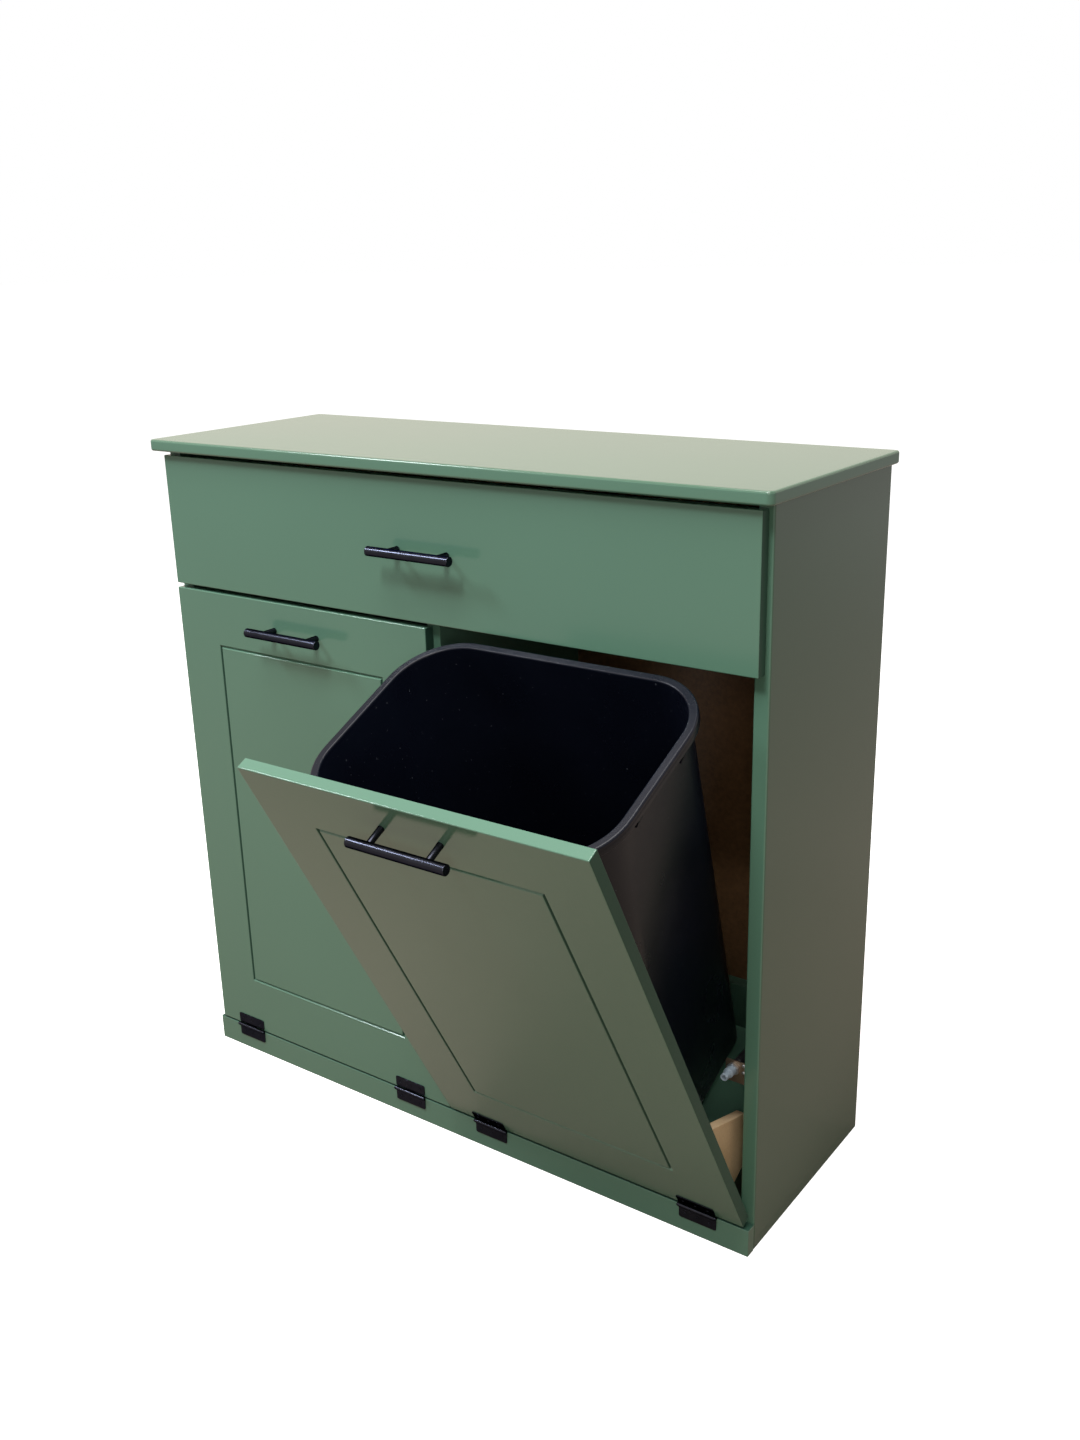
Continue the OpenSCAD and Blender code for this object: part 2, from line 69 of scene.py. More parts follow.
def makePiece(name, verts, faces, materials, body, slot, replaced=(), sharp=30, choose=None):
    # merges doubles, turns the faces outwards and hangs the piece on its body; choose(normals)
    # gives each face the number of its material where there are more than one
    mesh = bpy.data.meshes.new(name)
    mesh.from_pydata(np.asarray(verts, float).tolist(), [], [list(map(int, f)) for f in faces])
    work = bmesh.new()
    work.from_mesh(mesh)
    weld = 2e-6  # two micrometres, finer than any detail
    bmesh.ops.remove_doubles(work, verts=work.verts, dist=weld)
    bmesh.ops.dissolve_degenerate(work, edges=work.edges, dist=weld)
    bmesh.ops.recalc_face_normals(work, faces=work.faces)
    work.to_mesh(mesh)
    work.free()
    mesh.polygons.foreach_set("use_smooth", np.ones(len(mesh.polygons), bool))
    mesh.set_sharp_from_angle(angle=math.radians(sharp))
    for material in materials if isinstance(materials, list) else [materials]:
        mesh.materials.append(material)
    if choose:
        normals = np.empty(len(mesh.polygons) * 3)
        mesh.polygons.foreach_get("normal", normals)
        mesh.polygons.foreach_set("material_index", choose(normals.reshape(-1, 3)).astype(np.int32))
    piece = bpy.data.objects.new(name, mesh)
    bpy.context.scene.collection.objects.link(piece)
    shade = piece.modifiers.new("flatFaces", "WEIGHTED_NORMAL")
    shade.keep_sharp = True
    shade.weight = 80
    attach(piece, body)
    if replaced:
        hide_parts(*replaced)
    return piece


def joined(parts):
    # several (verts, faces) as one
    starts = np.cumsum([0] + [len(verts) for verts, _ in parts])
    verts = np.concatenate([np.asarray(verts, float) for verts, _ in parts])
    return verts, [np.asarray(face) + start for (_, faces), start in zip(parts, starts) for face in faces]


def gridFaces(rows, cols, wrap=True):
    # quads of a grid of rows x cols whose columns close into a ring
    r, c = np.meshgrid(np.arange(rows - 1), np.arange(cols if wrap else cols - 1), indexing="ij")
    a, d = r * cols + c, r * cols + (c + 1) % cols
    return list(np.stack([a, d, d + cols, a + cols], -1).reshape(-1, 4))


def board(lo, hi, thin, edge, corner=0.0, linesA=(), linesB=(), cut=None):
    # a board as one sweep: its outline, with corners of radius corner, is carried from the first face
    # over a quarter round of radius edge, down the side and over a second one; thin is the axis through
    # the thickness. The two faces are grids on linesA and linesB, and cut(a, b) is the first one's carving
    lo, hi = np.array(lo, float), np.array(hi, float)
    a, b = [i for i in range(3) if i != thin]
    corner = max(corner, edge)
    la = np.array(sorted({lo[a] + corner, hi[a] - corner, *linesA}))
    lb = np.array(sorted({lo[b] + corner, hi[b] - corner, *linesB}))
    turn = np.linspace(0, math.pi / 2, 5 if corner < 0.004 else 9)  # a wide corner has more points
    sides = []
    for k, (line, fixed) in enumerate([(la, lb[0]), (lb, la[-1]), (la[::-1], lb[-1]), (lb[::-1], la[0])]):
        start = k * math.pi / 2 - math.pi / 2
        other = np.full(len(line), fixed)
        spot = np.stack([line, other] if k % 2 == 0 else [other, line], -1)
        bend = np.repeat(spot[-1:], len(turn), 0)
        angle = np.concatenate([np.full(len(line), start), start + turn])
        sides.append(np.column_stack([np.concatenate([spot, bend]), np.cos(angle), np.sin(angle)]))
    ring = np.concatenate(sides)
    over = np.linspace(0, math.pi / 2, 5)
    reach = np.concatenate([[0], corner - edge + edge * np.sin(over)])
    reach = np.concatenate([reach, reach[::-1]])[:, None]
    deep = np.concatenate([[0], edge - edge * np.cos(over)])
    level = np.concatenate([lo[thin] + deep, hi[thin] - deep[::-1]])
    verts = np.zeros((len(reach), len(ring), 3))
    verts[..., a] = ring[:, 0] + reach * ring[:, 2]
    verts[..., b] = ring[:, 1] + reach * ring[:, 3]
    verts[..., thin] = level[:, None]
    parts = [(verts.reshape(-1, 3), gridFaces(len(reach), len(ring)))]
    ga, gb = np.meshgrid(la, lb, indexing="ij")
    for face, carved in ((lo[thin], cut is not None), (hi[thin], False)):
        cap = np.zeros((*ga.shape, 3))
        cap[..., a], cap[..., b], cap[..., thin] = ga, gb, face
        if carved:
            cap[..., thin] += cut(ga, gb)
        parts.append((cap.reshape(-1, 3), gridFaces(len(la), len(lb), False)))
    return joined(parts)


def axes(along):
    # an axis and two directions square to it and to each other
    along = np.array(along, float)
    side = np.cross(along, [0.0, 0.0, 1.0] if abs(along[2]) < 0.9 else [1.0, 0.0, 0.0])
    side /= np.linalg.norm(side)
    return along, side, np.cross(along, side)


def lathe(profile, start, along, sides=32):
    # a profile of (distance along the axis, radius) turned about the axis
    along, side, up = axes(along)
    turn = np.linspace(0, 2 * math.pi, sides, endpoint=False)
    profile = np.array(profile, float)
    ring = np.cos(turn)[:, None] * side + np.sin(turn)[:, None] * up
    verts = np.array(start) + profile[:, None, :1] * along + profile[:, None, 1:] * ring
    return verts.reshape(-1, 3), gridFaces(len(profile), sides)


def roundedEnd(length, radius, soft):
    # the profile of a rod whose two ends are rounded over by soft
    turn = np.linspace(0, math.pi / 2, 4)
    near = np.column_stack([soft - soft * np.cos(turn), radius - soft + soft * np.sin(turn)])
    far = np.column_stack([length - near[::-1, 0], near[::-1, 1]])
    return np.concatenate([[[0, 0]], near, far, [[length, 0]]])


# the closed fronts' outer and inner faces, and the line that the two lower ones turn about
panels = dict(faceY=-0.157, backY=-0.142)
hinge = dict(axisY=-0.1599, axisZ=0.038, openAngle=28.0)


def opened(verts):
    # turns what is drawn closed about the hinge line, to where the right front stands
    turn = math.radians(hinge["openAngle"])
    verts = np.array(verts, float)
    y, z = verts[:, 1] - hinge["axisY"], verts[:, 2] - hinge["axisZ"]
    verts[:, 1] = y * math.cos(turn) - z * math.sin(turn) + hinge["axisY"]
    verts[:, 2] = y * math.sin(turn) + z * math.cos(turn) + hinge["axisZ"]
    return verts


def mirrored(verts):
    return np.asarray(verts) * [-1, 1, 1]


def bothSides(shape):
    return joined([shape, (mirrored(shape[0]), shape[1])])


def eachFront(name, shape, material, slot, replaced, **options):
    # what is drawn closed on the right goes on both fronts
    verts, faces = shape
    makePiece("left" + name, mirrored(verts), faces, material, "left_front", slot,
              ["left_" + replaced], **options)
    makePiece("right" + name, opened(verts), faces, material, "right_front", slot,
              ["right_" + replaced], **options)


def paintNode(node, material):
    # a CAD node that keeps its own mesh gets its finish
    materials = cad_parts[node].data.materials
    materials.clear()
    materials.append(material)


def newMaterial(name):
    material = bpy.data.materials.new(name)
    material.use_nodes = True
    material.node_tree.nodes.clear()
    return material, material.node_tree


def sprayedEnamel(name, dark, light, rough=0.16, ior=1.5):
    # enamel sprayed on fibreboard: an even colour that drifts a little over 300 mm, a wet gloss,
    # and orange peel 3 mm across that softens what it mirrors
    material, tree = newMaterial(name)
    spot = addNode(tree, "ShaderNodeTexCoord")
    drift = addNode(tree, "ShaderNodeTexNoise", {"Vector": (spot, "Object"), "Scale": 3.2, "Detail": 1.0})
    peel = addNode(tree, "ShaderNodeTexNoise", {"Vector": (spot, "Object"), "Scale": 330.0, "Detail": 1.0})
    color = addNode(tree, "ShaderNodeMix", {0: (drift, "Fac"), 6: toLinear(dark), 7: toLinear(light)},
                    data_type="RGBA")
    gloss = addNode(tree, "ShaderNodeMapRange", {"Value": (drift, "Fac"), "To Min": rough - 0.03,
                                                 "To Max": rough + 0.03})
    bump = addNode(tree, "ShaderNodeBump", {"Height": (peel, "Fac"), "Strength": 0.035, "Distance": 0.0004})
    shader = addNode(tree, "ShaderNodeBsdfPrincipled", {
        "Base Color": (color, 2), "Roughness": (gloss, "Result"), "IOR": ior, "Normal": (bump, "Normal")})
    addNode(tree, "ShaderNodeOutputMaterial", {"Surface": (shader, "BSDF")})
    return material


def blackPlate(name, dark, light, edge, rough=0.23):
    # black plated steel: a bluish sheen along a bar, dark at its outline, with a grain of 1 mm that
    # hardly shows
    material, tree = newMaterial(name)
    spot = addNode(tree, "ShaderNodeTexCoord")
    grain = addNode(tree, "ShaderNodeTexNoise", {"Vector": (spot, "Object"), "Scale": 900.0, "Detail": 2.0})
    patch = addNode(tree, "ShaderNodeTexNoise", {"Vector": (spot, "Object"), "Scale": 60.0, "Detail": 2.0})
    color = addNode(tree, "ShaderNodeMix", {0: (patch, "Fac"), 6: toLinear(dark), 7: toLinear(light)},
                    data_type="RGBA")
    gloss = addNode(tree, "ShaderNodeMapRange", {"Value": (patch, "Fac"), "From Min": 0.3, "From Max": 0.7,
                                                 "To Min": rough - 0.05, "To Max": rough + 0.06})
    bump = addNode(tree, "ShaderNodeBump", {"Height": (grain, "Fac"), "Strength": 0.005, "Distance": 0.0002})
    shader = addNode(tree, "ShaderNodeBsdfPrincipled", {
        "Base Color": (color, 2), "Metallic": 1.0, "Roughness": (gloss, "Result"),
        "Specular Tint": toLinear(edge), "Normal": (bump, "Normal")})
    addNode(tree, "ShaderNodeOutputMaterial", {"Surface": (shader, "BSDF")})
    return material


def mouldedPlastic(name, dark, light, rough=0.38, ior=1.5, dustColor="#7C808A", dust=0.0):
    # injection moulded polyethylene: a waxy skin with a fine grain, dull patches as wide as a hand,
    # and where dust is over 0, pale specks about 1 mm across
    material, tree = newMaterial(name)
    spot = addNode(tree, "ShaderNodeTexCoord")
    grain = addNode(tree, "ShaderNodeTexNoise", {"Vector": (spot, "Object"), "Scale": 700.0, "Detail": 2.0})
    patch = addNode(tree, "ShaderNodeTexNoise", {"Vector": (spot, "Object"), "Scale": 9.0, "Detail": 4.0})
    speck = addNode(tree, "ShaderNodeTexNoise", {"Vector": (spot, "Object"), "Scale": 260.0, "Detail": 3.0,
                                                 "Roughness": 0.6})
    skin = addNode(tree, "ShaderNodeMix", {0: (patch, "Fac"), 6: toLinear(dark), 7: toLinear(light)},
                   data_type="RGBA")
    where = addNode(tree, "ShaderNodeMapRange", {"Value": (speck, "Fac"), "From Min": 0.70, "From Max": 0.76,
                                                 "To Min": 0.0, "To Max": dust})
    color = addNode(tree, "ShaderNodeMix", {0: (where, "Result"), 6: (skin, 2), 7: toLinear(dustColor)},
                    data_type="RGBA")
    gloss = addNode(tree, "ShaderNodeMapRange", {"Value": (patch, "Fac"), "From Min": 0.3, "From Max": 0.7,
                                                 "To Min": rough - 0.05, "To Max": rough + 0.07})
    bump = addNode(tree, "ShaderNodeBump", {"Height": (grain, "Fac"), "Strength": 0.12, "Distance": 0.0003})
    shader = addNode(tree, "ShaderNodeBsdfPrincipled", {
        "Base Color": (color, 2), "Roughness": (gloss, "Result"), "IOR": ior, "Normal": (bump, "Normal")})
    addNode(tree, "ShaderNodeOutputMaterial", {"Surface": (shader, "BSDF")})
    return material


def zincPlate(name, dark, light, rough=0.30, metallic=0.85):
    # zinc plated steel: bright, clouded over 20 mm, with drawing lines 2 mm apart along the sheet, and
    # a dull film that keeps it pale where there is little to mirror
    material, tree = newMaterial(name)
    spot = addNode(tree, "ShaderNodeTexCoord")
    along = addNode(tree, "ShaderNodeMapping", {"Vector": (spot, "Object"), "Scale": (1, 0.05, 1)})
    cloud = addNode(tree, "ShaderNodeTexNoise", {"Vector": (spot, "Object"), "Scale": 50.0, "Detail": 4.0})
    lines = addNode(tree, "ShaderNodeTexNoise", {"Vector": (along, "Vector"), "Scale": 500.0, "Detail": 2.0})
    color = addNode(tree, "ShaderNodeMix", {0: (cloud, "Fac"), 6: toLinear(dark), 7: toLinear(light)},
                    data_type="RGBA")
    gloss = addNode(tree, "ShaderNodeMapRange", {"Value": (cloud, "Fac"), "From Min": 0.3, "From Max": 0.7,
                                                 "To Min": rough - 0.08, "To Max": rough + 0.12})
    bump = addNode(tree, "ShaderNodeBump", {"Height": (lines, "Fac"), "Strength": 0.06, "Distance": 0.0002})
    shader = addNode(tree, "ShaderNodeBsdfPrincipled", {
        "Base Color": (color, 2), "Roughness": (gloss, "Result"), "Metallic": metallic,
        "Normal": (bump, "Normal")})
    addNode(tree, "ShaderNodeOutputMaterial", {"Surface": (shader, "BSDF")})
    return material


def pressedBoard(name, dark, light, rough, fibreScale, cloudScale, strength):
    # bare fibreboard and hardboard: felted fibres a few millimetres long, drawn as coarse as they
    # have to be to show, over slow clouds where the board was pressed harder
    material, tree = newMaterial(name)
    spot = addNode(tree, "ShaderNodeTexCoord")
    fibre = addNode(tree, "ShaderNodeTexNoise", {"Vector": (spot, "Object"), "Scale": fibreScale,
                                                 "Detail": 6.0, "Roughness": 0.65})
    cloud = addNode(tree, "ShaderNodeTexNoise", {"Vector": (spot, "Object"), "Scale": cloudScale,
                                                 "Detail": 3.0})
    both = addNode(tree, "ShaderNodeMath", {0: (fibre, "Fac"), 1: (cloud, "Fac")}, operation="ADD")
    share = addNode(tree, "ShaderNodeMapRange", {"Value": (both, "Value"), "From Min": 0.7, "From Max": 1.3})
    color = addNode(tree, "ShaderNodeMix", {0: (share, "Result"), 6: toLinear(dark), 7: toLinear(light)},
                    data_type="RGBA")
    gloss = addNode(tree, "ShaderNodeMapRange", {"Value": (cloud, "Fac"), "To Min": rough - 0.06,
                                                 "To Max": rough + 0.06})
    bump = addNode(tree, "ShaderNodeBump", {"Height": (fibre, "Fac"), "Strength": strength,
                                            "Distance": 0.0004})
    shader = addNode(tree, "ShaderNodeBsdfPrincipled", {
        "Base Color": (color, 2), "Roughness": (gloss, "Result"), "IOR": 1.45, "Normal": (bump, "Normal")})
    addNode(tree, "ShaderNodeOutputMaterial", {"Surface": (shader, "BSDF")})
    return material


# one enamel in three tints, because light colours its faces so: the fronts' own colour, an olive copy that is
# painted reflection and shade, and a darker copy that is painted shade
frontPaint = sprayedEnamel("sprayedSageEnamel", "#537765", "#587D6A")
# painted reflection and shade: the same enamel, darker and more olive
shadedOlivePaint = sprayedEnamel("shadedOliveEnamel", "#466451", "#4C6A57")
# painted shade: the same enamel, darker and duller, for edges and faces that lie in the shade
shadedEdgePaint = sprayedEnamel("shadedSageEnamel", "#2C4A3E", "#345446", 0.45, 1.25)
blackMetal = blackPlate("satinBlackPlate", "#292B34", "#363841", "#70747F")
binPlastic = mouldedPlastic("mouldedBlackPolyethylene", "#080B15", "#0E121F", 0.29, 1.29, dust=0.6)
paleNylon = mouldedPlastic("mouldedGreyNylon", "#8C9DAC", "#B4C4D2", 0.3)
damperPlastic = mouldedPlastic("mouldedBlackNylon", "#1A1A1D", "#2A2A2E", 0.3)
brightZinc = zincPlate("brightZincPlate", "#A8AAAD", "#D4D6D8")
yellowZinc = zincPlate("yellowZincPlate", "#7C6A5C", "#A8947E", 0.34, 0.75)
bareBoard = pressedBoard("bareFibreboard", "#D8B78C", "#EBCDA4", 0.7, 260.0, 18.0, 0.2)
brownBoard = pressedBoard("temperedHardboard", "#5A422C", "#7C5C3E", 0.3, 180.0, 7.0, 0.08)
print("materials ready")

# radii of the boards' edges, and the cosines past which a face that turns away from an axis changes its tint:
# the darker tints are painted shade, the olive one painted reflection as well
carcass = dict(topEdge=0.0028, topCorner=0.008, boardEdge=0.0024, railEdge=0.0010, frontEdge=0.0013,
               topTint=0.3, railTint=0.8, sideTint=0.7)


def boardFromNode(name, node, thin, edge, material, body, slot, corner=0.0, choose=None):
    lo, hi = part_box(node)
    makePiece(name, *board(lo, hi, thin, edge, corner), material, body, slot, [node], choose=choose)


# the top's upper face has the sides' olive tint, painted reflection and shade of the same enamel, and its
# edges that of the fronts
boardFromNode("topBoard", "top_board", 2, carcass["topEdge"], [shadedOlivePaint, frontPaint], "cabinet",
              "green_paint", carcass["topCorner"], lambda normals: normals[:, 2] < carcass["topTint"])
# the rail's upper face lies in the shade of the doors
boardFromNode("bottomRail", "bottom_rail", 1, carcass["railEdge"], [frontPaint, shadedEdgePaint], "cabinet",
              "green_paint", choose=lambda normals: normals[:, 2] > carcass["railTint"])
# a side's outer face has the olive tint, painted reflection and shade of the same enamel, and its edges and
# inner face that of the fronts
boardFromNode("leftSide", "left_side", 0, carcass["boardEdge"], [shadedOlivePaint, frontPaint], "cabinet",
              "side_paint", choose=lambda normals: normals[:, 0] > -carcass["sideTint"])
boardFromNode("rightSide", "right_side", 0, carcass["boardEdge"], [shadedOlivePaint, frontPaint], "cabinet",
              "side_paint", choose=lambda normals: normals[:, 0] < carcass["sideTint"])
for node in ("centre_divider", "left_floor", "right_floor", "drawer_deck", "back_rail"):
    paintNode(node, frontPaint)
paintNode("back_panel", brownBoard)
print("carcass ready")

door = dict(grooveSide=0.076, grooveTop=0.075, grooveBottom=0.084, grooveWidth=0.0048, grooveDepth=0.0030,
            grooveSteps=9)


def doorPanel():
    # the front face sinks along a rectangle set in from the door's edges, by half a cosine wave of the
    # distance from its line, which rounds the groove's floor and both its lips
    lo, hi = (np.array(c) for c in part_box("left_door"))
    lo[0], hi[0] = -hi[0], -lo[0]  # the left door's box mirrored, as the right one stands open
    half = door["grooveWidth"] / 2
    x0, x1 = lo[0] + door["grooveSide"], hi[0] - door["grooveSide"]
    z0, z1 = lo[2] + door["grooveBottom"], hi[2] - door["grooveTop"]

    def sink(x, z):
        away = np.maximum(np.abs(x - (x0 + x1) / 2) - (x1 - x0) / 2,
                          np.abs(z - (z0 + z1) / 2) - (z1 - z0) / 2)
        return door["grooveDepth"] * (0.5 + 0.5 * np.cos(np.pi * np.clip(np.abs(away) / half, 0, 1)))

    steps = np.linspace(-1, 1, door["grooveSteps"]) * half
    return board(lo, hi, 1, carcass["frontEdge"], 0, np.add.outer([x0, x1], steps).ravel(),
                 np.add.outer([z0, z1], steps).ravel(), sink)


def verticalEdges(normals):
    # they take a darker tint than the faces, painted shade, as the light falls on them
    return abs(normals[:, 0]) > carcass["sideTint"]


eachFront("Door", doorPanel(), [frontPaint, shadedEdgePaint], "green_paint", "door", choose=verticalEdges)
boardFromNode("drawerFront", "drawer_front", 1, carcass["frontEdge"], [frontPaint, shadedEdgePaint], "drawer",
              "green_paint", choose=verticalEdges)
print("fronts ready")

pull = dict(barRadius=0.006, barLength=0.126, barEase=0.0008, reach=0.026,
            posts=0.076, postRadius=0.004, neck=0.0002, bevel=0.0004, footEdge=0.0008, footHigh=0.005,
            sunk=0.0014, headRadius=0.004, headHigh=0.0024, boxFrontY=-0.130,
            drawerZ=0.802, doorX=0.2225, doorZ=0.671)


def pullBar(x, z):
    # a rod with eased ends
    bar = roundedEnd(pull["barLength"], pull["barRadius"], pull["barEase"])
    return lathe(bar, (x - pull["barLength"] / 2, panels["faceY"] - pull["reach"], z), (1, 0, 0), 48)


def pullPosts(x, z):
    # each post widens a little where it meets the face and runs into the underside of the bar
    r, neck, top = pull["postRadius"], pull["neck"], pull["reach"] - pull["barRadius"] + pull["sunk"]
    profile = [(0, 0), (0, r - pull["bevel"]), (pull["footEdge"], r), (pull["footHigh"], r - neck),
               (top, r - neck), (top, 0)]
    return joined([lathe(profile, (x + s * pull["posts"] / 2, panels["faceY"], z), (0, -1, 0))
                   for s in (-1, 1)])


# a screw's cross as shares of its head: the slot's half width and reach, how far the crown falls, how deep
# the cross is sunk, where its walls start and how steep they are
cross = dict(half=0.13, reach=0.55, fall=0.45, sink=0.5, start=1.15, steep=4)


def screwHead(radius, height, start, along):
    # a pan head: the height falls with the square of the radius, and a cross is sunk into it
    along, side, up = axes(along)
    sides = 48
    r = np.linspace(0, 1, 15)[:, None]
    turn = np.linspace(0, 2 * math.pi, sides, endpoint=False)[None, :]
    x, y = r * np.cos(turn), r * np.sin(turn)
    far = np.minimum(np.maximum(np.abs(x) / cross["half"], np.abs(y) / cross["reach"]),
                     np.maximum(np.abs(y) / cross["half"], np.abs(x) / cross["reach"]))
    sunk = cross["sink"] * np.clip((cross["start"] - far) * cross["steep"], 0, 1)
    crown = 1 - cross["fall"] * r ** 2 - sunk
    foot = np.zeros((1, sides))
    levels = np.concatenate([crown, foot, foot])[..., None] * height
    xs = np.concatenate([x, x[-1:], 0 * x[-1:]])[..., None] * radius
    ys = np.concatenate([y, y[-1:], 0 * y[-1:]])[..., None] * radius
    verts = np.array(start) + levels * along + xs * side + ys * up
    return verts.reshape(-1, 3), gridFaces(len(levels), sides)


def pullScrews(x, z, backY):
    # the heads lie on the back of what the pull is screwed to
    r, high, half = pull["headRadius"], pull["headHigh"], pull["posts"] / 2
    return joined([screwHead(r, high, (x + s * half, backY, z), (0, 1, 0)) for s in (-1, 1)])


onDrawer, onDoor = (0, pull["drawerZ"]), (pull["doorX"], pull["doorZ"])
makePiece("drawerPullBar", *pullBar(*onDrawer), blackMetal, "drawer", "black_metal", ["drawer_pull_bar"])
makePiece("drawerPullPosts", *pullPosts(*onDrawer), blackMetal, "drawer", "black_metal",
          ["drawer_pull_posts"])
makePiece("drawerPullScrews", *pullScrews(*onDrawer, pull["boxFrontY"]), brightZinc, "drawer", "zinc_steel",
          ["drawer_pull_screws"])
eachFront("PullBar", pullBar(*onDoor), blackMetal, "black_metal", "pull_bar")
eachFront("PullPosts", pullPosts(*onDoor), blackMetal, "black_metal", "pull_posts")
eachFront("PullScrews", pullScrews(*onDoor, panels["backY"]), brightZinc, "zinc_steel", "pull_screws")
print("pulls ready")

butt = dict(places=(0.070, 0.382), length=0.051, leafWidth=0.0183, leafStart=0.0031, thick=0.0012,
            leafEdge=0.0002, leafCorner=0.0022, knuckle=0.0026, knuckleEase=0.0003, gap=0.0003,
            neckEdge=0.0001, overlap=0.001, pinRadius=0.0013, pinEase=0.0002, pinOut=0.0005,
            buttonRadius=0.0021, buttonLong=0.001, buttonMid=0.0008,
            screwRow=0.0107, screwRadius=0.0023, screwHigh=0.0007)


def hingeLeaf(x, side):
    # a stamped leaf with small corner radii, and the knuckles rolled from it
    half, third, z = butt["length"] / 2, butt["length"] / 3, hinge["axisZ"]
    face, outside = panels["faceY"], panels["faceY"] - butt["thick"]
    span = sorted([z + side * butt["leafStart"], z + side * butt["leafWidth"]])
    neck = sorted([z, z + side * (butt["leafStart"] + butt["overlap"])])
    parts = [board((x - half, outside, span[0]), (x + half, face, span[1]), 1, butt["leafEdge"],
                   butt["leafCorner"])]
    outer = [(-half, -half + third - butt["gap"]), (half - third + butt["gap"], half)]
    for a, b in outer if side < 0 else [(-half + third, half - third)]:
        roll = roundedEnd(b - a, butt["knuckle"], butt["knuckleEase"])
        parts.append(lathe(roll, (x + a, hinge["axisY"], z), (1, 0, 0)))
        parts.append(board((x + a, outside, neck[0]), (x + b, face, neck[1]), 1, butt["neckEdge"]))
    return joined(parts)


def hingeScrews(x, side):
    y, z = panels["faceY"] - butt["thick"], hinge["axisZ"] + side * butt["screwRow"]
    places = [(x + d * butt["length"] / 3, y, z) for d in (-1, 0, 1)]
    return joined([screwHead(butt["screwRadius"], butt["screwHigh"], place, (0, -1, 0)) for place in places])


def hingePin(x):
    # the pin shows as a small button at each end of the knuckles
    y, z, half = hinge["axisY"], hinge["axisZ"], butt["length"] / 2
    rod = roundedEnd(butt["length"] + 2 * butt["pinOut"], butt["pinRadius"], butt["pinEase"])
    button = roundedEnd(butt["buttonLong"], butt["buttonRadius"], butt["knuckleEase"])
    parts = [lathe(rod, (x - half - butt["pinOut"], y, z), (1, 0, 0), 16)]
    for s in (-1, 1):
        start = x + s * (half + butt["buttonMid"]) - butt["buttonLong"] / 2
        parts.append(lathe(button, (start, y, z), (1, 0, 0), 24))
    return joined(parts)


def atBoth(shape, *side):
    # a hinge's part at both of a front's places
    return joined([shape(x, *side) for x in butt["places"]])


makePiece("hingeLowerLeaves", *bothSides(atBoth(hingeLeaf, -1)), blackMetal, "cabinet", "black_metal",
          ["hinge_lower_leaves"])
makePiece("hingeLowerScrews", *bothSides(atBoth(hingeScrews, -1)), blackMetal, "cabinet", "black_metal",
          ["hinge_lower_screws"])
makePiece("hingePins", *bothSides(atBoth(hingePin)), blackMetal, "cabinet", "black_metal", ["hinge_pins"])
eachFront("HingeLeaves", atBoth(hingeLeaf, 1), blackMetal, "black_metal", "hinge_leaves")
eachFront("HingeScrews", atBoth(hingeScrews, 1), blackMetal, "black_metal", "hinge_screws")
print("hinges ready")

tray = dict(edge=0.0014, boardThick=0.012, outX=0.415, inX=0.0255, z=0.053, deep=0.087, low=0.063, high=0.150,
            bottomDeep=0.223)


def extruded(outline, x0, x1, edge):
    # an outline in the YZ plane pushed along X; near both ends it shrinks towards its middle by a
    # quarter round
    outline = np.array(outline, float)
    middle = outline.mean(0)
    turn = np.linspace(0, math.pi / 2, 4)
    inset = np.concatenate([1 - np.sin(turn), 1 - np.cos(turn)]) * edge
    along = np.concatenate([x0 + edge * (1 - np.cos(turn)), x1 - edge * (1 - np.sin(turn))])
    away = outline - middle
    shrunk = middle + away * (1 - inset[:, None, None] / np.abs(away).mean())
    verts = np.concatenate([np.broadcast_to(along[:, None, None], (*shrunk.shape[:2], 1)), shrunk], -1)
    rows, n = len(along), len(outline)
    return verts.reshape(-1, 3), gridFaces(rows, n) + [np.arange(n), np.arange(n) + (rows - 1) * n]


def trayBrackets():
    y, z = panels["backY"], tray["z"]
    outline = [(y, z), (y + tray["deep"], z), (y + tray["deep"], z + tray["low"]), (y, z + tray["high"])]
    return joined([extruded(outline, tray["inX"], tray["inX"] + tray["boardThick"], tray["edge"]),
                   extruded(outline, tray["outX"] - tray["boardThick"], tray["outX"], tray["edge"])])


def trayBottom():
    t, y, z = tray["boardThick"], panels["backY"], tray["z"]
    return board((tray["inX"] + t, y, z), (tray["outX"] - t, y + tray["bottomDeep"], z + t), 2, tray["edge"])


eachFront("TrayBrackets", trayBrackets(), bareBoard, "raw_board", "tray_brackets")
eachFront("TrayBottom", trayBottom(), frontPaint, "green_paint", "tray_bottom")
print("trays ready")

wasteBin = dict(height=0.57955, rimWidth=0.3985, rimDepth=0.2785, rimHigh=0.012, rimOut=0.0085, wall=0.0025,
                baseWidth=0.240, baseDepth=0.221, baseRadius=0.030, neckRadius=0.071, footRadius=0.008,
                bowlRadius=0.012, outerArris=0.0028, innerArris=0.0022, lean=2.8999, midX=0.22025, gap=0.0003,
                trayTop=0.065, gussetHigh=0.015, gussetTop=0.0090, gussetFoot=0.0014)


def roundedLoop(halfWidth, halfDepth, radius, arc=16, flat=6):
    # points round a rectangle with round corners, for arrays of sizes: a row of points for each size
    turn = np.linspace(0, math.pi / 2, arc)
    loops = []
    for k, (sx, sy) in enumerate([(1, 1), (-1, 1), (-1, -1), (1, -1)]):
        angle = turn + k * math.pi / 2
        x = sx * (halfWidth - radius)[:, None] + radius[:, None] * np.cos(angle)
        y = sy * (halfDepth - radius)[:, None] + radius[:, None] * np.sin(angle)
        loops.append(np.stack([x, y], -1))
    step = np.linspace(0, 1, flat + 2)[1:-1][None, :, None]
    full = []
    for k in range(4):
        a, b = loops[k][:, -1:], loops[(k + 1) % 4][:, :1]
        full += [loops[k], a + (b - a) * step]
    return np.concatenate(full, 1)


